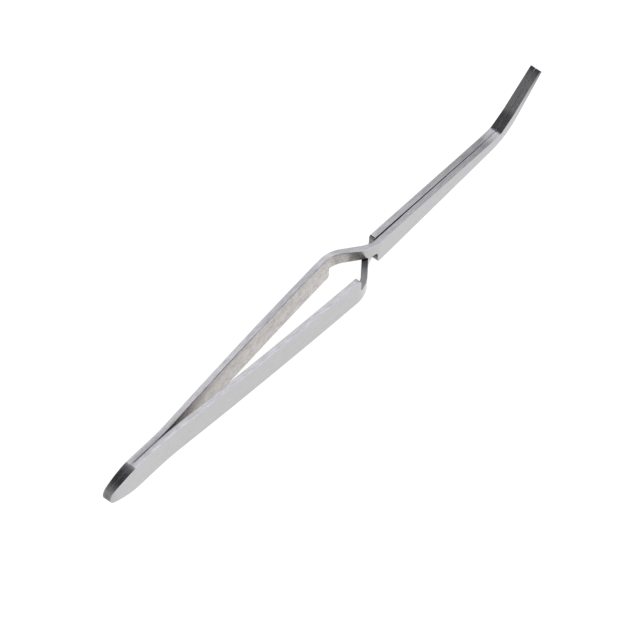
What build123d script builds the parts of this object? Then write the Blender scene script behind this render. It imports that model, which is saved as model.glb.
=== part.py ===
from build123d import *
import os
from math import atan, cos, degrees, radians, sin, tan

# Cross-action spring tongs, standing with the lower edges of both strips on a flat surface.
# X runs from the rounded tail to the tips, Y goes across the blades, Z is up. Millimetres.
# The origin is under the middle of the tongs' outline, on the surface they rest on.
# The left blade's handle is on the +Y side, and its jaw crosses over to the -Y side.

# Driving dimensions. A station is a distance along X from the tail's end.
LENGTH = 141.05
THICKNESS = 1.4
TAIL_THICKNESS = 1.05  # of one strip at the very end, where the tail is ground thinner
TAIL_TAPER = 9.0  # stretch over which the tail thins
TAIL_HEIGHT = 6.93  # height of the strip just after the tapered tail
CORNER_STATION = 78.2  # where the handle turns into the crossing neck
CORNER_HEIGHT = 6.48

# Side shape of the tail: each side leaves the strip's edge at a slight corner and bends in to
# a round nose. Headings are in degrees from the strip's edge.
TAIL_CORNER_HEADING = 7.0
TAIL_SIDE_RADIUS = 27.0
TAIL_NOSE_HEADING = 22.0

# Plan shape of one blade: bend radii of its middle line, and headings in degrees.
FLAT_TAIL = 15.1  # stretch over which the two strips lie face to face
OPENING_RADIUS = 86.0
OPENING_HEADING = 4.75
HANDLE_END_HEADING = 2.9  # the handle is very slightly bowed
CORNER_RADIUS = 7.6
NECK_HEADING = -38.0
NECK_RADIUS = 6.6
JAW_GAP_AT_NECK = 0.15  # from the middle plane to a jaw's inner face
JAW_GAP_AT_TIP = 0.02
TIP_THICKNESS = 1.28
TIP_RELIEF_LENGTH = 0.6  # where the inner corner of each tip's end is ground off
TIP_RELIEF_DEPTH = 0.35

# Side shape of the jaws and of the raised tips.
LEVEL_STATION = 124.2  # where the jaws' upper edge levels out
LEVEL_TOP = 4.24
LEVEL_RADIUS = 20.0
TIP_BEND_STATION = 127.6
TIP_BEND_TOP = 4.36
TIP_BEND_RADIUS = 2.5
TIP_MIDDLE_STATION = 131.6  # where the tips' upper edge steepens
TIP_MIDDLE_TOP = 6.56
TIP_MIDDLE_RADIUS = 12.0
TIP_HEADING = 36.0  # of the upper edge at the tips' end
TIP_WIDTH = 0.85
UNDER_BEND_STATION = 129.2  # where the two straight lower edges would meet
UNDER_BEND_BOTTOM = 1.88
UNDER_BEND_RADIUS = 14.0

# Half-lap notches that let the blades cross at one height.
NOTCH_START = 76.9
UPPER_NOTCH_END = 87.3
LOWER_NOTCH_END = 86.6
NOTCH_PLANE = 3.1
NOTCH_CLEARANCE = 0.15  # from the notch plane to each neck
NOTCH_INNER_ROUND = 0.5
HANDLE_SHOULDER_ROUND = 1.0
JAW_SHOULDER_ROUND = 0.6

# Flexing root of each blade, and the weld that holds the tails together.
SEAT_RADIUS = 2.0  # of the round seat in which an arm turns
SEAT_CLEARANCE = 0.03
WELD_WIDTH = 0.7
WELD_DEPTH = 0.7

TALL = 20.0  # more than the tongs' height
WIDE = 20.0  # more than the tongs' width


def at(station):
    """X of a station: the origin is at half the length."""
    return station - LENGTH / 2


def reach(radius, start_heading, end_heading):
    """How far forward an arc goes between two headings."""
    return radius * abs(sin(radians(end_heading)) - sin(radians(start_heading)))


def drift(radius, start_heading, end_heading):
    """How far sideways an arc goes between two headings."""
    return radius * abs(cos(radians(end_heading)) - cos(radians(start_heading)))


def bow_radius():
    """Radius of the handle's long bow, from the opening bend to its corner."""
    corner_tangent = CORNER_RADIUS * tan(radians(HANDLE_END_HEADING - NECK_HEADING) / 2)
    bow_start = FLAT_TAIL + reach(OPENING_RADIUS, 0, OPENING_HEADING)
    return (CORNER_STATION - corner_tangent - bow_start) / reach(1, OPENING_HEADING, HANDLE_END_HEADING)


def jaw_heading():
    """The jaws close by a fraction of a degree towards the tips."""
    return degrees(atan((JAW_GAP_AT_NECK - JAW_GAP_AT_TIP) / (LENGTH - LOWER_NOTCH_END)))


def neck_run():
    """Straight length of the neck that brings the jaw to its gap from the middle plane."""
    widest = (
        THICKNESS / 2
        + drift(OPENING_RADIUS, 0, OPENING_HEADING)
        + drift(bow_radius(), OPENING_HEADING, HANDLE_END_HEADING)
    )
    fall = widest + THICKNESS / 2 + JAW_GAP_AT_NECK
    fall -= drift(CORNER_RADIUS, HANDLE_END_HEADING, NECK_HEADING)
    fall -= drift(NECK_RADIUS, NECK_HEADING, jaw_heading())
    return fall / sin(radians(-NECK_HEADING))


def blade_side(shift):
    """Plan line of the left blade, shifted from its middle line, from tail to tip bend."""
    opening_start = Vector(at(FLAT_TAIL), THICKNESS / 2 + shift)
    opening = JernArc(opening_start, (1, 0), OPENING_RADIUS - shift, OPENING_HEADING)
    bow_turn = HANDLE_END_HEADING - OPENING_HEADING
    bow = JernArc(opening @ 1, opening % 1, bow_radius() + shift, bow_turn)
    corner_turn = NECK_HEADING - HANDLE_END_HEADING
    corner = JernArc(bow @ 1, bow % 1, CORNER_RADIUS + shift, corner_turn)
    neck = Line(corner @ 1, corner @ 1 + (corner % 1) * neck_run())
    jaw_turn = jaw_heading() - NECK_HEADING
    turn = JernArc(neck @ 1, neck % 1, NECK_RADIUS - shift, jaw_turn)
    forward = at(TIP_BEND_STATION) - (turn @ 1).X
    jaw = Line(turn @ 1, turn @ 1 + Vector(forward, forward * tan(radians(jaw_heading()))))
    return [opening, bow, corner, neck, turn, jaw]


def blade_plan():
    """The left blade seen from above."""
    left_side = blade_side(THICKNESS / 2)
    right_side = blade_side(-THICKNESS / 2)
    taper_start = (at(TAIL_TAPER), THICKNESS)
    flat = Line(left_side[0] @ 0, taper_start)
    taper = TangentArc(taper_start, (at(0), TAIL_THICKNESS), tangent=(-1, 0))
    tail_end = Polyline(taper @ 1, (at(0), 0), right_side[0] @ 0)
    relief_start = LENGTH - TIP_RELIEF_LENGTH
    relief_gap = (LENGTH - relief_start) * tan(radians(jaw_heading()))
    tip_end = Polyline(
        left_side[-1] @ 1,
        (at(relief_start), -JAW_GAP_AT_TIP - relief_gap),
        (at(LENGTH), -JAW_GAP_AT_TIP - TIP_RELIEF_DEPTH),
        (at(LENGTH), -JAW_GAP_AT_TIP - TIP_THICKNESS),
        right_side[-1] @ 1,
    )
    return make_face(left_side + right_side + [flat, taper, tail_end, tip_end])


def rounded(outline, corners):
    """Round the corners of a side outline that lie nearest to each (station, height, radius)."""
    for station, height, radius in corners:
        corner = outline.vertices().sort_by_distance((at(station), height))[0]
        outline = fillet(corner, radius)
    return outline


def area(corners):
    """A straight-sided side outline through (station, height) corners."""
    return make_face(Polyline([(at(station), height) for station, height in corners], close=True))


def strip_outline():
    """Side outline of both strips before they are notched."""
    tip_slope = radians(TIP_HEADING)
    upper_tip_station = LENGTH - TIP_WIDTH * sin(tip_slope)
    upper_tip = TIP_MIDDLE_TOP + (upper_tip_station - TIP_MIDDLE_STATION) * tan(tip_slope)
    outline = area([
        (tail_length(), 0),
        (CORNER_STATION, 0),
        (UNDER_BEND_STATION, UNDER_BEND_BOTTOM),
        (LENGTH, upper_tip - TIP_WIDTH * cos(tip_slope)),
        (upper_tip_station, upper_tip),
        (TIP_MIDDLE_STATION, TIP_MIDDLE_TOP),
        (TIP_BEND_STATION, TIP_BEND_TOP),
        (LEVEL_STATION, LEVEL_TOP),
        (CORNER_STATION, CORNER_HEIGHT),
        (tail_length(), TAIL_HEIGHT),
    ])
    outline = rounded(outline, [
        (UNDER_BEND_STATION, UNDER_BEND_BOTTOM, UNDER_BEND_RADIUS),
        (TIP_MIDDLE_STATION, TIP_MIDDLE_TOP, TIP_MIDDLE_RADIUS),
        (TIP_BEND_STATION, TIP_BEND_TOP, TIP_BEND_RADIUS),
        (LEVEL_STATION, LEVEL_TOP, LEVEL_RADIUS),
    ])
    return outline + tail_outline()


def nose_radius():
    """Radius of the tail's nose, which starts where its curved sides end."""
    side_drop = drift(TAIL_SIDE_RADIUS, TAIL_CORNER_HEADING, TAIL_NOSE_HEADING)
    return (TAIL_HEIGHT / 2 - side_drop) / cos(radians(TAIL_NOSE_HEADING))


def tail_length():
    """Length of the tapered tail, from the nose to the corners of its sides."""
    side = reach(TAIL_SIDE_RADIUS, TAIL_CORNER_HEADING, TAIL_NOSE_HEADING)
    return side + nose_radius() * (1 - sin(radians(TAIL_NOSE_HEADING)))


def tail_outline():
    """Side outline of the tapered tail."""
    start = Vector(at(tail_length()), TAIL_HEIGHT)
    heading = radians(TAIL_CORNER_HEADING)
    side_turn = TAIL_NOSE_HEADING - TAIL_CORNER_HEADING
    upper = JernArc(start, (-cos(heading), -sin(heading)), TAIL_SIDE_RADIUS, side_turn)
    nose_turn = 180 - 2 * TAIL_NOSE_HEADING
    nose = JernArc(upper @ 1, upper % 1, nose_radius(), nose_turn)
    lower = JernArc(nose @ 1, nose % 1, TAIL_SIDE_RADIUS, side_turn)
    return make_face([upper, nose, lower, Line(lower @ 1, start)])


def notched(outline, from_top):
    """Cut the crossing notch from the upper or the lower edge of a strip."""
    if from_top:
        floor, outside = NOTCH_PLANE - NOTCH_CLEARANCE, TALL
        edge, end = CORNER_HEIGHT, UPPER_NOTCH_END
    else:
        floor, outside = NOTCH_PLANE + NOTCH_CLEARANCE, -TALL
        edge, end = 0, LOWER_NOTCH_END
    outline -= area([
        (NOTCH_START, floor),
        (NOTCH_START, outside),
        (end, outside),
        (end, floor),
    ])
    return rounded(outline, [
        (NOTCH_START, floor, NOTCH_INNER_ROUND),
        (end, floor, NOTCH_INNER_ROUND),
        (NOTCH_START, edge, HANDLE_SHOULDER_ROUND),
        (end, edge, JAW_SHOULDER_ROUND),
    ])


def sideways(outline, width):
    """Extrude a side outline both ways across the tongs."""
    return extrude(Plane.XZ * outline, width / 2, both=True)


def weld():
    """Bead round the tail's end that joins the two strips, ground flush with their edges."""
    end = tail_length()
    strip = area([
        (end - WELD_DEPTH, 0),
        (LENGTH, 0),
        (LENGTH, TAIL_HEIGHT),
        (end - WELD_DEPTH, TAIL_HEIGHT),
    ])
    ring = tail_outline() - offset(tail_outline() + strip, -WELD_DEPTH)
    return sideways(ring, WELD_WIDTH)


def blade(notch_from_top):
    """The whole left blade in one piece, with its notch from above or below."""
    side = sideways(notched(strip_outline(), notch_from_top), WIDE)
    return extrude(blade_plan(), TALL) & side - weld()


def pivot():
    """Point about which an arm turns: the end of the left blade's opening bend."""
    return blade_side(0)[0] @ 1


def arm_space(radius):
    """Everything ahead of the pivot, with a round end about it."""
    ahead = Pos(pivot()) * Box(LENGTH, WIDE, TALL, align=(Align.MIN, Align.CENTER, Align.MIN))
    round_end = Pos(pivot()) * Cylinder(radius, TALL, align=(Align.CENTER, Align.CENTER, Align.MIN))
    return ahead + round_end


def arm(whole_blade):
    """The stretch of a blade that swings: handle, neck and jaw."""
    return whole_blade & arm_space(SEAT_RADIUS)


def tail(whole_blade):
    """The stretch of a blade that stays still, with the seat for its arm."""
    return whole_blade - arm_space(SEAT_RADIUS + SEAT_CLEARANCE)


def right_hand(piece):
    """A piece of the left blade, mirrored to the other side of the middle plane."""
    return mirror(piece, Plane.XZ)


left_blade = blade(notch_from_top=False)
mirror_blade = blade(notch_from_top=True)
nodes = {
    "left_blade_tail": tail(left_blade),
    "left_blade_arm": arm(left_blade),
    "right_blade_tail": right_hand(tail(mirror_blade)),
    "right_blade_arm": right_hand(arm(mirror_blade)),
    "tail_weld": weld(),
}

os.makedirs("parts", exist_ok=True)
for name, solid in nodes.items():
    export_step(solid, f"parts/{name}.step")
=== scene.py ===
import math
from collections import namedtuple

import bmesh
import bpy
import numpy as np
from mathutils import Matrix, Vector


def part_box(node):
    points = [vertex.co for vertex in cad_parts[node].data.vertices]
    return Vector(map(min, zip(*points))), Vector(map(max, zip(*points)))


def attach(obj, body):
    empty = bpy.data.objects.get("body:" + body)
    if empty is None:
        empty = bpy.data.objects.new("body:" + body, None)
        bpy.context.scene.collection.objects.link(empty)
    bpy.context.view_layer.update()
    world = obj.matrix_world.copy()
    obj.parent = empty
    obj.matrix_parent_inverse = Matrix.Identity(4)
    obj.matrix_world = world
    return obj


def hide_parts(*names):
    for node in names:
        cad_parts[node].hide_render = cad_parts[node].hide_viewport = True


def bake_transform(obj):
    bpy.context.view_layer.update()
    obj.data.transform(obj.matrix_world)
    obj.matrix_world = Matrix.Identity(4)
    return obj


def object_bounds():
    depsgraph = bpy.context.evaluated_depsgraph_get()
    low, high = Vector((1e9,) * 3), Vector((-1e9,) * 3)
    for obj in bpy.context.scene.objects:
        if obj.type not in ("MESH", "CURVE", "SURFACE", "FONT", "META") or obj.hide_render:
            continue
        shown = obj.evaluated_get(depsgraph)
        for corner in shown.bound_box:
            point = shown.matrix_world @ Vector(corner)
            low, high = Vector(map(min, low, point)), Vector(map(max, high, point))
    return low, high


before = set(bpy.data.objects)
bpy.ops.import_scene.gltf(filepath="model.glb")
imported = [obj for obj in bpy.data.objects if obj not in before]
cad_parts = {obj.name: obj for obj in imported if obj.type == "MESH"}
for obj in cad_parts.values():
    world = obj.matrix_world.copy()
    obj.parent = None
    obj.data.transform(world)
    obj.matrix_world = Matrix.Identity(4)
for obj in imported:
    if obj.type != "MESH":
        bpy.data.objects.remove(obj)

# Looks for a pair of cross-action spring tongs. Everything is worked out in millimetres and
# turned into metres when a mesh is made. A station is a distance along X from the tail's end.
# The left blade's handle is on the +Y side, and its jaw crosses over to the -Y side. The right
# blade is its mirror image, but its crossing notch is cut from above instead of from below.
# A value that changes along the blades is given as knots: pairs of (station, value).
MM = 0.001
cad_low, cad_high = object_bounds()

LENGTH = (cad_high.x - cad_low.x) / MM
THICKNESS = 1.4
TAIL_THICKNESS = 1.05  # at the tail's end, which is ground thinner
TAIL_TAPER = 9.0  # the stretch over which it thins
TAIL_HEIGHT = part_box("left_blade_tail")[1].z / MM
CORNER_STATION = 78.2  # where the handle would turn into the neck if the corner were sharp
CORNER_HEIGHT = 6.48

# Side shape of the tail: curved sides that end in a round nose.
TAIL_CORNER_HEADING = 7.0
TAIL_CORNER_ROUND = 1.5
TAIL_SIDE_RADIUS = 27.0
TAIL_NOSE_HEADING = 22.0

# Plan shape of one blade: bend radii of its middle line, and headings in degrees.
FLAT_TAIL = 15.1
OPENING_RADIUS = 86.0
OPENING_HEADING = 4.75
HANDLE_END_HEADING = 2.9
CORNER_RADIUS = 7.6
NECK_HEADING = -38.0
NECK_RADIUS = 6.6
JAW_GAP_AT_NECK = 0.15
JAW_GAP_AT_TIP = 0.02
TIP_THICKNESS = 1.28
TIP_RELIEF_LENGTH = 0.6  # the inner corner of the tip's end is ground off
TIP_RELIEF_DEPTH = 0.35
SHIFT_ROUNDS = 12  # enough to find a point on a shifted line to rounding

# Side shape of the jaws and of the raised tips.
LEVEL_STATION = 124.2
LEVEL_TOP = 4.24
LEVEL_RADIUS = 20.0
TIP_BEND_STATION = 127.6
TIP_BEND_TOP = 4.36
TIP_BEND_RADIUS = 2.5
TIP_MIDDLE_STATION = 131.6
TIP_MIDDLE_TOP = 6.56
TIP_MIDDLE_RADIUS = 12.0
TIP_HEADING = 36.0
TIP_WIDTH = 0.85
TIP_CORNER_ROUND = 0.2
UNDER_BEND_STATION = 129.2
UNDER_BEND_BOTTOM = 1.88
UNDER_BEND_RADIUS = 14.0

# Half-lap notches that let the blades cross at one height.
CROSSING_START = 75.3
CROSSING_END = 88.8
NOTCH_START = 76.9
UPPER_NOTCH_END = 87.3
LOWER_NOTCH_END = 86.6
NOTCH_PLANE = 3.1
NOTCH_CLEARANCE = 0.15
NOTCH_INNER_ROUND = 0.5
HANDLE_SHOULDER_ROUND = 1.0
JAW_SHOULDER_ROUND = 0.6
SIDES_SWAP = NOTCH_START + 5  # right faces are inside before this station, and left ones after it

# Rounding of the strips' long edges.
OUTER_RIM = 0.12
END_RIM = 0.05  # of the outer edges at the tail's nose and along the tips
INNER_RIM = 0.09
TIP_INNER_RIM = 0.02
WELD_GROOVE = 0.12
LOWER_RIM_SHARE = 0.5  # the lower edges are rounded less than the upper ones
LOWER_RIM_START = 2.0  # how far before the tail's corners that starts
LOWER_RIM_FADE = 3.0
SUPPORT = 0.12  # from a rounded rim to the first row of the flat beside it
MOST_SUPPORT_SHARE = 0.2
EDGE_DEPTH = max(OUTER_RIM, INNER_RIM) / 2  # deeper points are on the strip's edge
WELD_END = 10.0  # how far the weld runs between the strips
WELD_FADE = 0.3  # how far to either side of that its groove runs out

# How a left and a right face's long edges are rounded along the blade.
LEFT_RIM = (
    (4, END_RIM), (14, OUTER_RIM), (NOTCH_START, OUTER_RIM),
    (CROSSING_END, INNER_RIM), (LEVEL_STATION - 2, INNER_RIM), (LEVEL_STATION, TIP_INNER_RIM),
)
RIGHT_RIM = (
    (WELD_END - WELD_FADE, WELD_GROOVE), (WELD_END + WELD_FADE, INNER_RIM), (NOTCH_START, INNER_RIM),
    (CROSSING_END, OUTER_RIM), (TIP_BEND_STATION - 9, OUTER_RIM), (TIP_BEND_STATION, END_RIM),
)

# Mesh density. The upper and lower edges need the same number of points in each stretch.
TAIL_SIDE_STEPS = 9
TAIL_CORNER_STEPS = 2
NOSE_STEPS = 10
HANDLE_STEPS = 64
NOTCH_LEG_STEPS = (2, 4, 32, 3, 4)
NOTCH_ROUND_STEPS = (7, 6, 6, 6)
UPPER_JAW_LEG_STEPS = (38, 2, 2, 10, 0)
UPPER_JAW_ROUND_STEPS = (5, 7, 6, 4)
LOWER_JAW_LEG_STEPS = (40, 14, 0)
LOWER_JAW_ROUND_STEPS = (16, 4)
RIM_STEPS = 3
ROWS = 9
# Where an edge without a notch has its points, to keep them level with the other edge's notch.
PLAIN_STATIONS = (CROSSING_START, 77.9, 85.7, CROSSING_END)

NOSE_GRINDING = ((0.4, 0.3), (1.8, 0.0))  # how milled the nose looks

# Painted shade in the seam between the strips, and on their inner edges where they part.
SEAM_TOP = (
    (WELD_END, 0.0), (10.4, 1.0), (12.4, 1.0), (13.5, 0.2), (15.5, 0.2), (17, 1.0),
    (46, 0.9), (56, 0.5), (NOTCH_START, 0.45), (82, 0.8), (95, 0.8), (98, 0.0),
    (112, 0.0), (117, 0.3), (124, 0.4), (126, 0.0), (128, 0.0), (130, 0.4),
)
SEAM_BOTTOM = ((24, 0.0), (30, 0.9), (50, 0.9), (62, 0.0))
RIGHT_SEAM_TOP_SHARE = ((NOTCH_START, 0.15), (CROSSING_END, 0.5))  # of the left blade's painted seam shade
RIGHT_SEAM_BOTTOM_SHARE = 0.3

# Shade, from 0 for clean, well lit steel to 1 for black, where the steel mirrors a dark place.
NOSE_SHADES = ((0.0, 0.45), (0.2, 0.3), (0.5, 0.0))
GAP_SHADES = ((FLAT_TAIL, 0.9), (22.0, 0.55), (34.0, 0.0))  # inside, ahead of the tail
NOTCH_SHADES = ((77.8, 0.05), (80.2, 0.18), (81.6, 0.33), (83.3, 0.72), (84.0, 0.72), (85.3, 0.35))
HANDLE_TOP_SHADES = (  # on the left handle's upper edge
    (7, 0.0), (9, 0.17), (20, 0.14), (30, 0.06), (45, 0.06), (60, 0.2), (72, 0.2), (76, 0.0),
)
OUTER_RIM_SHADES = ((42, 0.0), (50, 0.35), (70, 0.35), (76, 0.0))  # on its outer rim
LEFT_JAW_TOP_SHADES = (
    (86, 0.0), (89, 0.12), (95, 0.1), (101, 0.18), (110, 0.25),
    (115, 0.28), (124, 0.43), (125.5, 0.32), (127.3, 0.0),
)
RIGHT_JAW_TOP_SHADES = (
    (90, 0.0), (94, 0.1), (101, 0.12), (104, 0.22), (110, 0.24),
    (115, 0.34), (124, 0.42), (125.5, 0.32), (127.3, 0.0),
)
TIP_END_SHADES = ((137.5, 0.0), (140.5, 0.5))  # on both tips' edges
TIP_SIDE_SHADES = ((132.0, 0.0), (137.0, 0.3), (140.5, 0.8))  # on the left blade's outer face
# The left neck's inner face mirrors the other neck in a dark patch, whose front half leans forward.
PATCH_SHADES = ((77.3, 0.0), (78.8, 0.18), (80.7, 0.2), (81.2, 0.55), (82.1, 0.55), (82.5, 0.0))
PATCH_FRONT = 81.7
PATCH_LEAN = 0.25
# The left notch's shoulder on the jaw is dark towards its floor: pairs of (height, shade).
SHOULDER_STATION = 85.3
SHOULDER_SHADES = ((1.3, 0.0), (2.5, 0.85))

# The inner faces are stained. The stains end sharply at their rims, and where the necks cross.
INSIDE_FADE = ((82.8, 1.0), (83.8, 0.0))
INSIDE_SHARPNESS = 4
# Extra roughness: the nose is ground more coarsely, and so are the bends of the tips.
DULLNESS = ((0.8, 0.3), (3.2, 0.0), (126.2, 0.0), (127.3, 0.07), (127.8, 0.07), (128.6, 0.0))
MILLED_DULLNESS = 0.14
INSIDE_DULLNESS = 0.1

# The weld bead's section, as pairs of (Y, inset below the strips' edges): half its crown, then
# its root between the strips. Its ripples are pairs of (depth, turn per step).
WELD_HALF_CROWN = ((-0.15, 0.06), (-0.12, 0.015), (-0.09, 0.003), (-0.05, 0.0))
WELD_ROOT = ((0.1, 0.3), (-0.1, 0.3))
WELD_RIPPLES = ((0.002, 1.9), (0.001, 0.83))
WELD_END_WIDTH = 0.6  # of its full width
WELD_END_STEPS = 2  # in which it widens from its ends


def at_station(knots, station):
    """A value at each station, which changes evenly between knots of (station, value)."""
    stations, values = zip(*knots)
    return np.interp(station, stations, values)


def reach(radius, start_heading, end_heading):
    """How far forward an arc goes between two headings."""
    return radius * abs(math.sin(math.radians(end_heading)) - math.sin(math.radians(start_heading)))


def drift(radius, start_heading, end_heading):
    """How far sideways an arc goes between two headings."""
    return radius * abs(math.cos(math.radians(end_heading)) - math.cos(math.radians(start_heading)))


def nose_radius():
    """Radius of the round nose that the tail's two curved sides run into."""
    side_drop = drift(TAIL_SIDE_RADIUS, TAIL_CORNER_HEADING, TAIL_NOSE_HEADING)
    return (TAIL_HEIGHT / 2 - side_drop) / math.cos(math.radians(TAIL_NOSE_HEADING))


def tail_length():
    """Length of the tapered tail, from the nose to the corners of its sides."""
    side = reach(TAIL_SIDE_RADIUS, TAIL_CORNER_HEADING, TAIL_NOSE_HEADING)
    return side + nose_radius() * (1 - math.sin(math.radians(TAIL_NOSE_HEADING)))


def bow_radius():
    """Radius of the handle's long bow, from the opening bend to its corner."""
    corner_tangent = CORNER_RADIUS * math.tan(math.radians(HANDLE_END_HEADING - NECK_HEADING) / 2)
    bow_start = FLAT_TAIL + reach(OPENING_RADIUS, 0, OPENING_HEADING)
    bow_reach = CORNER_STATION - corner_tangent - bow_start
    return bow_reach / reach(1, OPENING_HEADING, HANDLE_END_HEADING)


def jaw_heading():
    """The jaws close by a fraction of a degree towards the tips."""
    closing = (JAW_GAP_AT_NECK - JAW_GAP_AT_TIP) / (LENGTH - LOWER_NOTCH_END)
    return math.degrees(math.atan(closing))


def neck_run():
    """Straight length of the neck that brings the jaw to its gap from the middle plane."""
    fall = THICKNESS + JAW_GAP_AT_NECK
    fall += drift(OPENING_RADIUS, 0, OPENING_HEADING)
    fall += drift(bow_radius(), OPENING_HEADING, HANDLE_END_HEADING)
    fall -= drift(CORNER_RADIUS, HANDLE_END_HEADING, NECK_HEADING)
    fall -= drift(NECK_RADIUS, NECK_HEADING, jaw_heading())
    return fall / math.sin(math.radians(-NECK_HEADING))


class MiddleLine:
    """Plan line along the middle of the left blade's thickness: straight runs and arcs."""

    def __init__(self):
        self.pieces = []  # each: arc length, x, y, heading and curvature where it starts
        self.end = (0.0, -LENGTH / 2, THICKNESS / 2, 0.0)

    def add(self, length, end_heading):
        """Go on for a length while the heading changes evenly to the end heading."""
        travelled, x, y, heading = self.end
        curvature = (math.radians(end_heading) - heading) / length
        self.pieces.append((travelled, x, y, heading, curvature))
        (x,), (y,), _ = self.place(np.array([travelled + length]))
        self.end = (travelled + length, x, y, math.radians(end_heading))

    def arc(self, radius, end_heading):
        self.add(radius * abs(math.radians(end_heading) - self.end[3]), end_heading)

    def place(self, travelled):
        """X, Y and heading at each distance travelled along the line."""
        pieces = np.array(self.pieces)
        index = np.clip(np.searchsorted(pieces[:, 0], travelled, side="right") - 1, 0, None)
        start, x, y, heading, curvature = pieces[index].T
        ahead = travelled - start
        # An arc's chord is its length times the sine of half its turn over half its turn.
        half_turn = curvature * ahead / 2
        chord = ahead * np.sinc(half_turn / np.pi)
        x = x + chord * np.cos(heading + half_turn)
        y = y + chord * np.sin(heading + half_turn)
        return x, y, heading + 2 * half_turn

    def beside(self, station, shift):
        """Y of the points at these stations on lines shifted to the left, and how far along."""
        goal = station - LENGTH / 2
        travelled = np.array(station, float)
        for _ in range(SHIFT_ROUNDS):
            x, y, heading = self.place(travelled)
            travelled = travelled + (goal - x + shift * np.sin(heading)) / np.cos(heading)
        x, y, heading = self.place(travelled)
        return y + shift * np.cos(heading), travelled


def make_middle_line():
    line = MiddleLine()
    line.add(FLAT_TAIL, 0)
    line.arc(OPENING_RADIUS, OPENING_HEADING)
    line.arc(bow_radius(), HANDLE_END_HEADING)
    line.arc(CORNER_RADIUS, NECK_HEADING)
    line.add(neck_run(), NECK_HEADING)
    line.arc(NECK_RADIUS, jaw_heading())
    line.add(LENGTH, jaw_heading())  # more than the jaw needs
    return line


MIDDLE_LINE = make_middle_line()


def tail_thinning(station):
    """How much the tail's end has been ground off the left face, along a wide arc."""
    most = THICKNESS - TAIL_THICKNESS
    radius = (TAIL_TAPER**2 + most**2) / (2 * most)
    return radius - np.sqrt(radius**2 - np.clip(TAIL_TAPER - station, 0, TAIL_TAPER) ** 2)


def face_shift(side, station):
    """How far a blade's left (1) or right (-1) face is from its middle line."""
    half = THICKNESS / 2
    if side > 0:
        along_relief = np.clip((station - LENGTH) / TIP_RELIEF_LENGTH + 1, 0, 1)
        return half - tail_thinning(station) - TIP_RELIEF_DEPTH * along_relief
    along_tip = (station - TIP_BEND_STATION) / (LENGTH - TIP_BEND_STATION)
    return -half + (THICKNESS - TIP_THICKNESS) * np.clip(along_tip, 0, 1)


def rim_radius(side, station):
    """Rounding of a face's long edges."""
    return at_station(LEFT_RIM if side > 0 else RIGHT_RIM, station)


def lower_height(station):
    """Height of a blade's lower edge past the tail, where it has no notch."""
    knots = ((CORNER_STATION, 0), (UNDER_BEND_STATION, UNDER_BEND_BOTTOM))
    return float(at_station(knots, station))


def upper_height(station):
    """Height of a blade's upper edge up to the tip's bend, where it has no notch."""
    knots = ((tail_length(), TAIL_HEIGHT), (CORNER_STATION, CORNER_HEIGHT), (LEVEL_STATION, LEVEL_TOP))
    return float(at_station(knots, station))


def turned(vector, angle):
    """A vector turned to the left by an angle."""
    c, s = math.cos(angle), math.sin(angle)
    return np.array([c * vector[0] - s * vector[1], s * vector[0] + c * vector[1]])


def rounded_trace(corners, leg_steps, round_steps):
    """Points and directions along straight legs joined by rounds.

    Corners are (station, height, radius). The steps say how many points each leg and each
    round gives, its last one left out.
    """
    points, directions = [], []
    position = np.array(corners[0][:2], float)
    for i, leg_count in enumerate(leg_steps):
        before, corner = np.array(corners[i][:2], float), np.array(corners[i + 1][:2], float)
        heading = (corner - before) / np.linalg.norm(corner - before)
        turn = cut = radius = 0.0
        if i < len(round_steps):
            after = np.array(corners[i + 2][:2], float) - corner
            turn = math.atan2(heading[0] * after[1] - heading[1] * after[0], heading @ after)
            radius = corners[i + 1][2]
            cut = radius * math.tan(abs(turn) / 2)
        leg_end = corner - heading * cut
        for step in range(leg_count):
            points.append(position + (leg_end - position) * step / leg_count)
            directions.append(heading)
        if i < len(round_steps):
            to_centre = turned(heading, math.copysign(math.pi / 2, turn)) * radius
            for step in range(round_steps[i]):
                angle = turn * step / round_steps[i]
                points.append(leg_end + to_centre - turned(to_centre, angle))
                directions.append(turned(heading, angle))
            position = corner + turned(heading, turn) * cut
    return points, directions, position


def tail_trace(upper):
    """The nose, the tail's side and the handle's edge, from the nose tip to the crossing."""
    middle = TAIL_HEIGHT / 2
    nose_turn = math.radians(90 - TAIL_NOSE_HEADING)
    nose_corner = middle - nose_radius() * math.tan(nose_turn / 2)
    side_turn = math.radians(TAIL_NOSE_HEADING - TAIL_CORNER_HEADING)
    side_cut = TAIL_SIDE_RADIUS * math.tan(side_turn / 2)
    heading = math.radians(TAIL_CORNER_HEADING)
    side_corner = (tail_length() - side_cut * math.cos(heading), side_cut * math.sin(heading))
    corners = [
        (0, middle, 0),
        (0, nose_corner, nose_radius()),
        (*side_corner, TAIL_SIDE_RADIUS),
        (tail_length(), 0, TAIL_CORNER_ROUND),
    ]
    if upper:
        corners = [(station, TAIL_HEIGHT - height, radius) for station, height, radius in corners]
    corners.append((CROSSING_START, upper_height(CROSSING_START) if upper else 0, 0))
    round_steps = (NOSE_STEPS, TAIL_SIDE_STEPS, TAIL_CORNER_STEPS)
    return rounded_trace(corners, (0, 0, 0, HANDLE_STEPS), round_steps)[:2]


def plain_crossing_trace(height):
    """The edge past the crossing without a notch, with as many points as a notched one."""
    before_floor = sum(NOTCH_LEG_STEPS[:2]) + sum(NOTCH_ROUND_STEPS[:2])
    total = sum(NOTCH_LEG_STEPS) + sum(NOTCH_ROUND_STEPS)
    knots = (0, before_floor, before_floor + NOTCH_LEG_STEPS[2], total)
    stations = np.interp(np.arange(total + 1), knots, PLAIN_STATIONS)
    points = [np.array([station, height(station)]) for station in stations]
    directions = [b - a for a, b in zip(points, points[1:])]
    return points[:-1], [d / np.linalg.norm(d) for d in directions]


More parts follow.
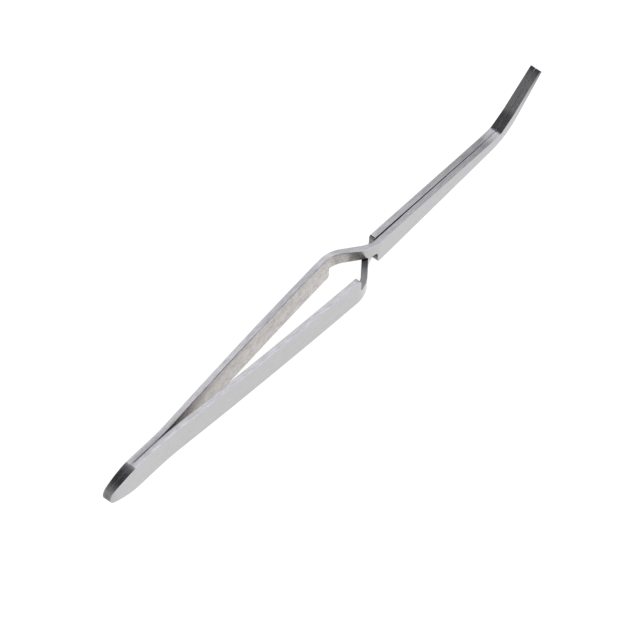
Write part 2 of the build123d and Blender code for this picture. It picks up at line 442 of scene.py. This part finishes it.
def crossing_trace(upper, notched):
    """The edge past the crossing, with or without a notch."""
    height = upper_height if upper else lower_height
    if not notched:
        return plain_crossing_trace(height)
    end = UPPER_NOTCH_END if upper else LOWER_NOTCH_END
    floor = NOTCH_PLANE - NOTCH_CLEARANCE if upper else NOTCH_PLANE + NOTCH_CLEARANCE
    corners = [
        (CROSSING_START, height(CROSSING_START), 0),
        (NOTCH_START, height(NOTCH_START), HANDLE_SHOULDER_ROUND),
        (NOTCH_START, floor, NOTCH_INNER_ROUND),
        (end, floor, NOTCH_INNER_ROUND),
        (end, height(end), JAW_SHOULDER_ROUND),
        (CROSSING_END, height(CROSSING_END), 0),
    ]
    return rounded_trace(corners, NOTCH_LEG_STEPS, NOTCH_ROUND_STEPS)[:2]


def tip_corners():
    """The upper and the lower corner of the tip's end, which is square to the tip's slope."""
    slope = math.radians(TIP_HEADING)
    upper_tip = np.array([LENGTH - TIP_WIDTH * math.sin(slope), 0.0])
    upper_tip[1] = TIP_MIDDLE_TOP + (upper_tip[0] - TIP_MIDDLE_STATION) * math.tan(slope)
    lower_tip = np.array([LENGTH, upper_tip[1] - TIP_WIDTH * math.cos(slope)])
    return upper_tip, lower_tip


def jaw_trace(upper):
    """The jaw's edge and the tip's, to the round corner at the tip's end."""
    upper_tip, lower_tip = tip_corners()
    if upper:
        corners = [
            (CROSSING_END, upper_height(CROSSING_END), 0),
            (LEVEL_STATION, LEVEL_TOP, LEVEL_RADIUS),
            (TIP_BEND_STATION, TIP_BEND_TOP, TIP_BEND_RADIUS),
            (TIP_MIDDLE_STATION, TIP_MIDDLE_TOP, TIP_MIDDLE_RADIUS),
        ]
        tip, other_tip = upper_tip, lower_tip
        leg_steps, round_steps = UPPER_JAW_LEG_STEPS, UPPER_JAW_ROUND_STEPS
    else:
        corners = [
            (CROSSING_END, lower_height(CROSSING_END), 0),
            (UNDER_BEND_STATION, UNDER_BEND_BOTTOM, UNDER_BEND_RADIUS),
        ]
        tip, other_tip = lower_tip, upper_tip
        leg_steps, round_steps = LOWER_JAW_LEG_STEPS, LOWER_JAW_ROUND_STEPS
    corners += [(*tip, TIP_CORNER_ROUND), (*other_tip, 0)]
    points, directions, end = rounded_trace(corners, leg_steps, round_steps)
    towards = other_tip - tip
    return points + [end], directions + [towards / np.linalg.norm(towards)]


Edge = namedtuple("Edge", "points inward milled rim_share")


def blade_edge(upper, notched):
    """One edge of a blade's side outline, from the nose tip to the end of the tip."""
    tail, crossing, jaw = tail_trace(upper), crossing_trace(upper, notched), jaw_trace(upper)
    points = np.array(tail[0] + crossing[0] + jaw[0])
    directions = np.array(tail[1] + crossing[1] + jaw[1])
    inward = np.stack([-directions[:, 1], directions[:, 0]], 1) * (-1 if upper else 1)
    milled = at_station(NOSE_GRINDING, points[:, 0])
    if notched:
        first = len(tail[0]) + NOTCH_LEG_STEPS[0] + NOTCH_ROUND_STEPS[0] // 2
        last = len(tail[0]) + len(crossing[0]) - NOTCH_LEG_STEPS[-1] - NOTCH_ROUND_STEPS[-1] // 2
        milled[first:last] = 1
    rim_share = np.ones(len(points))
    if not upper:
        start = tail_length() - LOWER_RIM_START
        lower = at_station(((start, 0), (start + LOWER_RIM_FADE, 1)), points[:, 0])
        rim_share = 1 - (1 - LOWER_RIM_SHARE) * lower
    return Edge(points, inward, milled, rim_share)


def row_shares(length):
    """Where the rows of a column go, as shares of its length, with one close to each end."""
    near = min(SUPPORT / length, MOST_SUPPORT_SHARE)
    return np.concatenate([[0], np.linspace(near, 1 - near, ROWS - 2), [1]])


class BladeMesh:
    """Collects the points and faces of one blade in its own flat coordinates."""

    def __init__(self, lower, upper):
        self.lower, self.upper = lower, upper
        self.points = []  # each: station, height, side of the blade, depth from that face
        self.marks = []  # each: how much it is milled, how much it is on a rim
        self.faces = []

    def add(self, place, side, depth, milled, rim):
        self.points.append((place[0], place[1], side, depth))
        self.marks.append((milled, rim))
        return len(self.points) - 1

    def add_face(self, *corners):
        kept = list(dict.fromkeys(corners))
        if len(kept) > 2:
            self.faces.append(kept)

    def outline(self):
        """The closed outline: lower edge, end of the tip, then the upper edge back."""
        lower, upper = self.lower, self.upper
        across = upper.points[-1] - lower.points[-1]
        shares = row_shares(np.linalg.norm(across))[1:-1]
        tip = Edge(
            points=lower.points[-1] + shares[:, None] * across,
            inward=np.repeat(lower.inward[-1:], len(shares), 0),
            milled=np.zeros(len(shares)),
            rim_share=lower.rim_share[-1] + shares * (1 - lower.rim_share[-1]),
        )
        return Edge(*(np.concatenate([a, b, c[:0:-1]]) for a, b, c in zip(lower, tip, upper)))

    def face_grid(self, side):
        """The flat of one face. Returns the indices of its boundary, in the outline's order."""
        bottoms, tops = (
            edge.points + (rim_radius(side, edge.points[:, 0]) * edge.rim_share)[:, None] * edge.inward
            for edge in (self.lower, self.upper)
        )
        grid = [[self.add(bottoms[0], side, 0, 0, 0)] * ROWS]  # the nose tip is one point
        for bottom, top in zip(bottoms[1:], tops[1:]):
            shares = row_shares(np.linalg.norm(top - bottom))
            places = [bottom + (top - bottom) * share for share in shares]
            grid.append([self.add(place, side, 0, 0, 0) for place in places])
        for near, far in zip(grid, grid[1:]):
            for row in range(ROWS - 1):
                self.add_face(near[row], far[row], far[row + 1], near[row + 1])
        first_rows = [column[0] for column in grid]
        last_rows = [column[-1] for column in grid[:0:-1]]
        return first_rows + grid[-1][1:-1] + last_rows

    def rim_ring(self, outline, side, inset_share, depth_share, extra_depth):
        """One closed ring of points round the edge, at shares of the rim's radius."""
        radii = rim_radius(side, outline.points[:, 0])
        ring = []
        for point, inward, milled, share, full_radius in zip(*outline, radii):
            radius = full_radius * share
            place = point + inward * radius * inset_share
            depth = radius * depth_share + extra_depth
            rim = 0 if extra_depth else max(2 * share - 1, 0)
            ring.append(self.add(place, side, depth, milled, rim))
        return ring

    def build(self):
        """The left face, round its rim and over the strip's edge, then the right face."""
        outline = self.outline()
        rings = [self.face_grid(1)]
        angles = [math.pi / 2 * step / RIM_STEPS for step in range(1, RIM_STEPS + 1)]
        rounds = [(1 - math.sin(angle), 1 - math.cos(angle)) for angle in angles]
        rings += [self.rim_ring(outline, 1, *shares, 0) for shares in rounds]
        rings.append(self.rim_ring(outline, 1, 0, 1, SUPPORT))
        rings.append(self.rim_ring(outline, -1, 0, 1, SUPPORT))
        rings += [self.rim_ring(outline, -1, *shares, 0) for shares in reversed(rounds)]
        rings.append(self.face_grid(-1))
        count = len(outline.points)
        for ring, next_ring in zip(rings, rings[1:]):
            for i in range(count):
                j = (i + 1) % count
                self.add_face(ring[i], ring[j], next_ring[j], next_ring[i])


def set_attribute(mesh, name, kind, values):
    attribute = mesh.attributes.new(name, kind, "POINT")
    field = "vector" if kind == "FLOAT_VECTOR" else "value"
    attribute.data.foreach_set(field, np.asarray(values, np.float32).ravel())


def make_object(name, points, faces, material):
    """A smooth mesh object from points in millimetres, with its faces turned outwards."""
    mesh = bpy.data.meshes.new(name)
    mesh.from_pydata([tuple(p) for p in np.asarray(points) * MM], [], faces)
    work = bmesh.new()
    work.from_mesh(mesh)
    bmesh.ops.recalc_face_normals(work, faces=work.faces)
    work.to_mesh(mesh)
    work.free()
    for polygon in mesh.polygons:
        polygon.use_smooth = True
    mesh.materials.append(material)
    made = bpy.data.objects.new(name, mesh)
    bpy.context.scene.collection.objects.link(made)
    return made


def left_blade_shade(station, height, side, on_face, on_edge, milled):
    """The left blade's own shade: shoulder, neck, upper edge, outer rim and outer tip face."""
    shade = milled * (station > SHOULDER_STATION) * at_station(SHOULDER_SHADES, height)
    lean = PATCH_LEAN * (CORNER_HEIGHT - height) * (station > PATCH_FRONT)
    shade += np.where((side < 0) & on_face, at_station(PATCH_SHADES, station - lean), 0)
    shade += on_edge * at_station(HANDLE_TOP_SHADES, station)
    outer_rim = (side > 0) & (height > NOTCH_PLANE) & ~on_face & ~on_edge
    shade += outer_rim * at_station(OUTER_RIM_SHADES, station)
    shade += on_edge * at_station(LEFT_JAW_TOP_SHADES, station)
    shade += (side < 0) * ~on_edge * at_station(TIP_SIDE_SHADES, station)
    return shade


def blade_shade(hand, station, height, side, depth, milled, inside):
    """How much darker each point is than clean, well lit steel."""
    on_face = depth == 0
    on_edge = depth > EDGE_DEPTH
    shade = inside * at_station(GAP_SHADES, station)
    shade += milled * at_station(NOTCH_SHADES, station)
    shade += np.where(on_face, 0, at_station(NOSE_SHADES, station))
    if hand > 0:
        shade += left_blade_shade(station, height, side, on_face, on_edge, milled)
    else:
        shade += on_edge * at_station(RIGHT_JAW_TOP_SHADES, station)
    shade += on_edge * at_station(TIP_END_SHADES, station)
    return np.clip(shade, 0, 1)


def painted_seam_shade(hand, station, height):
    """How much painted shade the inner edges get in the seam. The right blade's get less than the left
    one's.
    """
    top, bottom = at_station(SEAM_TOP, station), at_station(SEAM_BOTTOM, station)
    if hand < 0:
        top = top * at_station(RIGHT_SEAM_TOP_SHARE, station)
        bottom = bottom * RIGHT_SEAM_BOTTOM_SHARE
    return np.where(height > NOTCH_PLANE, top, bottom)


def make_blade(name, hand, notch_from_top, material):
    """One whole blade. The right-hand one is the left-hand one mirrored across Y."""
    build = BladeMesh(blade_edge(False, not notch_from_top), blade_edge(True, notch_from_top))
    build.build()
    station, height, side, depth = np.array(build.points).T
    shift = np.where(side > 0, face_shift(1, station) - depth, face_shift(-1, station) + depth)
    y, travelled = MIDDLE_LINE.beside(station, shift)
    points = np.stack([station - LENGTH / 2, y * hand, height], 1)
    made = make_object(name, points, build.faces, material)
    # The two blades take their grain from different stretches of the same noise.
    blade_shift = 0 if hand > 0 else 2 * LENGTH
    strip = np.stack([travelled + blade_shift, shift, height], 1)
    set_attribute(made.data, "strip_place", "FLOAT_VECTOR", strip)
    milled, rim = np.array(build.marks).T
    is_inner = side == np.where(station < SIDES_SWAP, -1, 1)
    inside = np.clip((THICKNESS / 2 - shift) / THICKNESS * 2 - 1, 0, 1) ** INSIDE_SHARPNESS
    inside *= at_station(INSIDE_FADE, station)
    dull = MILLED_DULLNESS * milled + INSIDE_DULLNESS * inside + at_station(DULLNESS, station)
    marks = {
        "milled": milled,
        "rim": rim * ~is_inner,
        # painted shade in the seam, on the inner rims
        "seam": rim * is_inner * painted_seam_shade(hand, station, height),
        "inside": inside,
        "dull": dull,
        "edge": depth > EDGE_DEPTH,
        "shade": blade_shade(hand, station, height, side, depth, milled, inside),
    }
    for mark, values in marks.items():
        set_attribute(made.data, mark, "FLOAT", values)
    return made


def weld_line():
    """The line round the tail that the bead follows, from below, with its inward directions."""
    lower, upper = blade_edge(False, False), blade_edge(True, False)
    count = int(np.sum(lower.points[:, 0] < WELD_END))
    centre = np.concatenate([lower.points[:count][::-1], upper.points[1:count]])
    inward = np.concatenate([lower.inward[:count][::-1], upper.inward[1:count]])
    return centre, inward


def make_weld(name, material):
    """The bead round the tail that fills the groove between the two strips, ground flush."""
    centre, inward = weld_line()
    section = WELD_HALF_CROWN + tuple((-y, inset) for y, inset in WELD_HALF_CROWN[::-1]) + WELD_ROOT
    last, width = len(centre) - 1, len(section)
    points, faces, strips = [], [], []
    for i, (point, direction) in enumerate(zip(centre, inward)):
        ripple = sum(depth * math.sin(i * turn) for depth, turn in WELD_RIPPLES)
        fade = min(1, i / WELD_END_STEPS, (last - i) / WELD_END_STEPS)
        for y, inset in section:
            place = point + direction * max(inset + ripple, 0)
            narrowed = y * (WELD_END_WIDTH + (1 - WELD_END_WIDTH) * fade)
            points.append((place[0] - LENGTH / 2, narrowed, place[1]))
            strips.append((place[0], y, place[1]))
    for i in range(last):
        for j in range(width):
            k = (j + 1) % width
            faces.append((i * width + j, i * width + k, (i + 1) * width + k, (i + 1) * width + j))
    faces.append(tuple(range(width)))
    faces.append(tuple(range(last * width, (last + 1) * width)))
    made = make_object(name, points, faces, material)
    set_attribute(made.data, "strip_place", "FLOAT_VECTOR", strips)
    stations = np.array(strips)[:, 0]
    set_attribute(made.data, "shade", "FLOAT", at_station(NOSE_SHADES, stations))
    set_attribute(made.data, "dull", "FLOAT", at_station(DULLNESS, stations))
    return made


class Nodes:
    """Short helpers for building one node tree."""

    def __init__(self, tree):
        self.tree = tree

    def add(self, kind, **settings):
        node = self.tree.nodes.new(kind)
        for name, value in settings.items():
            setattr(node, name, value)
        return node

    def link(self, source, target):
        self.tree.links.new(source, target)

    def attribute(self, name, output="Fac"):
        return self.add("ShaderNodeAttribute", attribute_name=name).outputs[output]

    def value(self, socket, source):
        """Sets an input from a number, a colour or another node's output."""
        if isinstance(source, bpy.types.NodeSocket):
            self.link(source, socket)
        else:
            socket.default_value = source

    def math(self, operation, *sources, clamp=False):
        node = self.add("ShaderNodeMath", operation=operation, use_clamp=clamp)
        for socket, source in zip(node.inputs, sources):
            self.value(socket, source)
        return node.outputs[0]

    def sum(self, first, second, clamp=False):
        return self.math("ADD", first, second, clamp=clamp)

    def product(self, first, second):
        return self.math("MULTIPLY", first, second)

    def ramp(self, source, levels):
        """Brightness from stops of (place from -1 to 1, level)."""
        node = self.add("ShaderNodeValToRGB")
        stops = node.color_ramp.elements
        while len(stops) < len(levels):
            stops.new(0.5)
        for stop, (place, level) in zip(stops, levels):
            stop.position = place / 2 + 0.5
            stop.color = (level, level, level, 1)
        self.link(source, node.inputs[0])
        return node.outputs["Color"]

    def noise(self, vector, kind):
        """Noise with its own scale along each axis of the vector."""
        scaled = self.add("ShaderNodeVectorMath", operation="MULTIPLY")
        self.link(vector, scaled.inputs[0])
        scaled.inputs[1].default_value = kind.scales
        node = self.add("ShaderNodeTexNoise")
        self.link(scaled.outputs[0], node.inputs["Vector"])
        node.inputs["Scale"].default_value = 1.0
        node.inputs["Detail"].default_value = kind.detail
        node.inputs["Roughness"].default_value = kind.roughness
        return node.outputs["Fac"]

    def spread(self, source, low, high, new_low=0.0, new_high=1.0):
        """Spreads the range from low to high over a new range."""
        node = self.add("ShaderNodeMapRange")
        self.link(source, node.inputs["Value"])
        node.inputs["From Min"].default_value = low
        node.inputs["From Max"].default_value = high
        node.inputs["To Min"].default_value = new_low
        node.inputs["To Max"].default_value = new_high
        return node.outputs["Result"]

    def mix(self, share, first, second):
        node = self.add("ShaderNodeMix", data_type="RGBA")
        self.value(node.inputs["Factor"], share)
        self.value(node.inputs[6], first)
        self.value(node.inputs[7], second)
        return node.outputs[2]

    def bump(self, height, distance, strength, normal=None):
        node = self.add("ShaderNodeBump")
        self.link(height, node.inputs["Height"])
        node.inputs["Distance"].default_value = distance
        self.value(node.inputs["Strength"], strength)
        if normal is not None:
            self.link(normal, node.inputs["Normal"])
        return node.outputs["Normal"]


def new_material(name):
    material = bpy.data.materials.new(name)
    material.use_nodes = True
    nodes = Nodes(material.node_tree)
    shader = material.node_tree.nodes["Principled BSDF"]
    shader.inputs["Metallic"].default_value = 1.0
    return material, nodes, shader


def grey(level, warmth=0.0):
    return (level * (1 + warmth), level, level * (1 - warmth), 1.0)


Noise = namedtuple("Noise", "scales detail roughness")

# Noises, with their scales per millimetre along a strip, across it and up it.
GRAIN = Noise((0.35, 7.0, 7.0), 3.0, 0.65)
STREAKS = Noise((0.45, 2.6, 2.6), 3.0, 0.7)
FINE_GRAIN = Noise((1.6, 22.0, 22.0), 2.0, 0.6)
MOTTLE = Noise((0.55, 0.9, 0.9), 3.0, 0.6)
SPECKLE = Noise((2.2, 2.6, 2.6), 4.0, 0.75)
# The next noise breaks up the painted seam shade.
SEAM_SHADE_BREAKS = Noise((0.28, 0.5, 0.5), 3.0, 0.6)
WELD_LINES = Noise((6.0, 2.0, 6.0), 3.0, 0.6)
WELD_PATCHES = Noise((1.5, 3.0, 1.5), 2.0, 0.5)

# The parts of the noises' ranges that are spread from one end of a look to the other.
MOST_NOISE = (0.3, 0.7)
STREAK_RANGE = (0.34, 0.66)
STAIN_RANGE = (0.38, 0.62)
WELD_RANGE = (0.35, 0.65)
SEAM_SHADE_RANGE = (0.35, 0.55)
ROUGHNESS_RANGE = (0.7, 1.3)  # of two noises' sum

# Colours, the darkest and the lightest where there are two.
CLEAN_STEEL = (grey(0.44), grey(0.49))
DRAWN_EDGE = (grey(0.40), grey(0.57))  # the strip's own edge, drawn and not ground
WORN_RIM = grey(0.56)
WORN_SHARE = 0.5
STAINED_STEEL = (grey(0.35, 0.06), grey(0.60, 0.03))
SPECKLE_SHARE = 0.6  # of the stains, and the rest is mottle
# The milled finish is darker than bare steel, partly as painted shade of the notches.
MILLED_STEEL_AND_SHADE = ((0.24, 0.245, 0.235, 1), (0.36, 0.365, 0.355, 1))
WELD_STEEL = (grey(0.38, 0.02), grey(0.46, 0.01))
SHADE_COLOUR = grey(0.02, 0.1)
# Painted shade along the seam between the strips: its colour, how much of it shows at most, and its
# least strength where noise breaks it.
SEAM_SHADE_COLOUR = grey(0.07)
SEAM_SHADE_SHARE = 0.8
LEAST_SEAM_SHADE = 0.45

# Roughness, at its smoothest and roughest, and bumps.
STEEL_ROUGHNESS = (0.15, 0.23)
WELD_ROUGHNESS = (0.17, 0.26)
LINE_DEPTH = 0.02 * MM
LINE_STRENGTH = 0.25
DENT_DEPTH = 0.03 * MM
DENT_STRENGTH = 0.05
INSIDE_DENT_STRENGTH = 0.3  # added where the steel is stained

Textures = namedtuple("Textures", "grain streaks fine_grain mottle speckle")


def steel_textures(nodes, place):
    return Textures(
        grain=nodes.noise(place, GRAIN),
        streaks=nodes.noise(place, STREAKS),
        fine_grain=nodes.noise(place, FINE_GRAIN),
        mottle=nodes.noise(place, MOTTLE),
        speckle=nodes.noise(place, SPECKLE),
    )


def bare_steel(nodes, textures):
    """The strip's outer faces, its drawn edges and its worn rims."""
    grain = nodes.spread(textures.grain, *MOST_NOISE, -0.5, 0.5)
    mottle = nodes.spread(textures.mottle, *MOST_NOISE, -0.5, 0.5)
    tone = nodes.sum(nodes.product(nodes.sum(grain, mottle), 0.5), 0.5, clamp=True)
    face = nodes.mix(tone, *CLEAN_STEEL)
    drawn = nodes.mix(nodes.spread(textures.streaks, *STREAK_RANGE), *DRAWN_EDGE)
    steel = nodes.mix(nodes.attribute("edge"), face, drawn)
    return nodes.mix(nodes.product(nodes.attribute("rim"), WORN_SHARE), steel, WORN_RIM)


def steel_colour(nodes, place, textures, inside):
    """Bare steel, stained inside, milled in the notches and darkened there partly as painted shade,
    then painted shade over it, and painted shade along the seam.
    """
    speckle = nodes.product(textures.speckle, SPECKLE_SHARE)
    stain = nodes.sum(speckle, nodes.product(textures.mottle, 1 - SPECKLE_SHARE))
    stained = nodes.mix(nodes.spread(stain, *STAIN_RANGE), *STAINED_STEEL)
    coloured = nodes.mix(inside, bare_steel(nodes, textures), stained)
    # milled finish, darkened partly as painted shade of the notches
    milled = nodes.mix(nodes.spread(textures.fine_grain, *MOST_NOISE), *MILLED_STEEL_AND_SHADE)
    coloured = nodes.mix(nodes.attribute("milled"), coloured, milled)
    shaded = nodes.mix(nodes.attribute("shade"), coloured, SHADE_COLOUR)
    # Painted shade along the seam, broken up by noise.
    broken = nodes.spread(nodes.noise(place, SEAM_SHADE_BREAKS), *SEAM_SHADE_RANGE, LEAST_SEAM_SHADE, 1.0)
    seam_shade = nodes.product(nodes.attribute("seam"), broken)
    return nodes.mix(nodes.product(seam_shade, SEAM_SHADE_SHARE), shaded, SEAM_SHADE_COLOUR)


def steel_material():
    """Satin stainless strip: fine grinding lines along it, faint mottling, brighter worn rims."""
    material, nodes, shader = new_material("satin_strip_steel")
    place = nodes.attribute("strip_place", "Vector")
    textures = steel_textures(nodes, place)
    inside = nodes.attribute("inside")
    nodes.link(steel_colour(nodes, place, textures, inside), shader.inputs["Base Color"])

    blotches = nodes.sum(textures.grain, textures.speckle)
    roughness = nodes.spread(blotches, *ROUGHNESS_RANGE, *STEEL_ROUGHNESS)
    nodes.link(nodes.sum(roughness, nodes.attribute("dull")), shader.inputs["Roughness"])

    lines = nodes.bump(nodes.sum(textures.grain, textures.fine_grain), LINE_DEPTH, LINE_STRENGTH)
    strength = nodes.sum(nodes.product(inside, INSIDE_DENT_STRENGTH), DENT_STRENGTH)
    dents = nodes.bump(textures.speckle, DENT_DEPTH, strength, lines)
    nodes.link(dents, shader.inputs["Normal"])
    return material


def weld_material():
    """The weld bead: duller and a little darker than the strips, with a ground surface."""
    material, nodes, shader = new_material("ground_weld_steel")
    place = nodes.attribute("strip_place", "Vector")
    lines = nodes.noise(place, WELD_LINES)
    patches = nodes.noise(place, WELD_PATCHES)
    tone = nodes.product(nodes.sum(lines, patches), 0.5)
    colour = nodes.mix(nodes.spread(tone, *WELD_RANGE), *WELD_STEEL)
    shaded = nodes.mix(nodes.attribute("shade"), colour, SHADE_COLOUR)
    nodes.link(shaded, shader.inputs["Base Color"])
    roughness = nodes.spread(lines, *MOST_NOISE, *WELD_ROUGHNESS)
    nodes.link(nodes.sum(roughness, nodes.attribute("dull")), shader.inputs["Roughness"])
    nodes.link(nodes.bump(tone, LINE_DEPTH, LINE_STRENGTH), shader.inputs["Normal"])
    return material


FLOOR_SIZE = 60.0  # in metres, far past the picture's edges
FLOOR_DROP = 0.02  # below the lower edges
FLOOR_GREY = 0.35
FLOOR_GLOW = 0.85


def make_floor():
    """A plain white floor, lit from below like a light table, just under the lower edges."""
    bpy.ops.mesh.primitive_plane_add(size=FLOOR_SIZE, location=(0, 0, -FLOOR_DROP * MM))
    floor = bpy.context.object
    floor.name = "floor"
    material = bpy.data.materials.new("floor_white")
    material.use_nodes = True
    shader = material.node_tree.nodes["Principled BSDF"]
    shader.inputs["Base Color"].default_value = grey(FLOOR_GREY)
    shader.inputs["Emission Color"].default_value = grey(1.0)
    shader.inputs["Emission Strength"].default_value = FLOOR_GLOW
    shader.inputs["Roughness"].default_value = 1.0
    shader.inputs["Specular IOR Level"].default_value = 0.0
    floor.data.materials.append(material)


ROOM_LEVEL = 1.2
# Brightness overhead by how far a direction points along X: a dark panel, then a softbox.
PANEL_LEVELS = (
    (-1.0, 0.40), (-0.79, 0.34), (-0.63, 0.26), (-0.50, 0.15), (-0.385, 0.055), (0.22, 0.05),
    (0.33, 1.05), (0.42, 1.22), (0.49, 1.2), (0.54, 0.70), (1.0, 0.7),
)
PANEL_MIDDLE = 0.40  # along Y
PANEL_EDGES = (0.38, 0.55)  # from its middle, where it starts to fade and where it ends
HORIZON_FADE = (-0.12, -0.02)  # along Z, where it fades in from below
OVERHEAD_TINT = (0.98, 0.965, 1.055, 1)
TINT_FADE = (0.2, 0.9)


def make_room():
    """White surroundings with a long panel overhead, which the steel reflects."""
    world = bpy.data.worlds.new("studio")
    bpy.context.scene.world = world
    world.use_nodes = True
    nodes = Nodes(world.node_tree)
    direction = nodes.add("ShaderNodeTexCoord").outputs["Generated"]
    split = nodes.add("ShaderNodeSeparateXYZ")
    nodes.link(direction, split.inputs[0])
    x, y, z = split.outputs
    panel = nodes.ramp(nodes.math("MULTIPLY_ADD", x, 0.5, 0.5), PANEL_LEVELS)
    across = nodes.math("ABSOLUTE", nodes.math("SUBTRACT", y, PANEL_MIDDLE))
    in_band = nodes.spread(across, *PANEL_EDGES, 1.0, 0.0)
    overhead = nodes.product(in_band, nodes.spread(z, *HORIZON_FADE))
    level = nodes.mix(overhead, grey(1.0), panel)
    tint = nodes.mix(nodes.spread(z, *TINT_FADE), grey(1.0), OVERHEAD_TINT)
    background = world.node_tree.nodes["Background"]
    nodes.link(tint, background.inputs["Color"])
    nodes.link(nodes.product(level, ROOM_LEVEL), background.inputs["Strength"])


VIEW_AZIMUTH = -49.98  # from -Y, towards the tail
VIEW_ELEVATION = 52.0
VIEW_DISTANCE = 4400.0
VIEW_WIDTH = 134.93  # of what the picture shows across the tongs
# The picture's middle lies this far, along its own axes, from a point over the origin.
AIM_HEIGHT = 3.0
AIM_RIGHT = -0.693
AIM_UP = -4.988
SENSOR_WIDTH = 36.0
CLIP_START, CLIP_END = 0.1, 100.0


def make_camera():
    """A long lens from the tail's right side, high up."""
    azimuth, elevation = math.radians(VIEW_AZIMUTH), math.radians(VIEW_ELEVATION)
    back = Vector((
        math.sin(azimuth) * math.cos(elevation),
        -math.cos(azimuth) * math.cos(elevation),
        math.sin(elevation),
    ))
    data = bpy.data.cameras.new("camera")
    data.sensor_width = SENSOR_WIDTH
    data.lens = data.sensor_width * VIEW_DISTANCE / VIEW_WIDTH
    data.clip_start, data.clip_end = CLIP_START, CLIP_END
    camera = bpy.data.objects.new("camera", data)
    bpy.context.scene.collection.objects.link(camera)
    turn = (-back).to_track_quat("-Z", "Y")
    camera.rotation_mode = "QUATERNION"
    camera.rotation_quaternion = turn
    right, up = turn @ Vector((1, 0, 0)), turn @ Vector((0, 1, 0))
    aim = Vector((0, 0, AIM_HEIGHT)) + right * AIM_RIGHT + up * AIM_UP
    camera.location = (aim + back * VIEW_DISTANCE) * MM
    bpy.context.scene.camera = camera


def join_to_bodies(blade, tail_node, arm_node):
    """Hides the blade's tail and arm parts from model.glb, and bakes the blade's placement into its
    mesh.
    """
    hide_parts(tail_node, arm_node)
    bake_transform(blade)


steel = steel_material()
left_blade = make_blade("left_blade", 1, False, steel)
right_blade = make_blade("right_blade", -1, True, steel)
join_to_bodies(left_blade, "left_blade_tail", "left_blade_arm")
join_to_bodies(right_blade, "right_blade_tail", "right_blade_arm")

bead = make_weld("tail_weld_bead", weld_material())
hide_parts("tail_weld")
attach(bead, "tail")

make_floor()
make_room()
make_camera()
bpy.context.scene.view_settings.view_transform = "Standard"
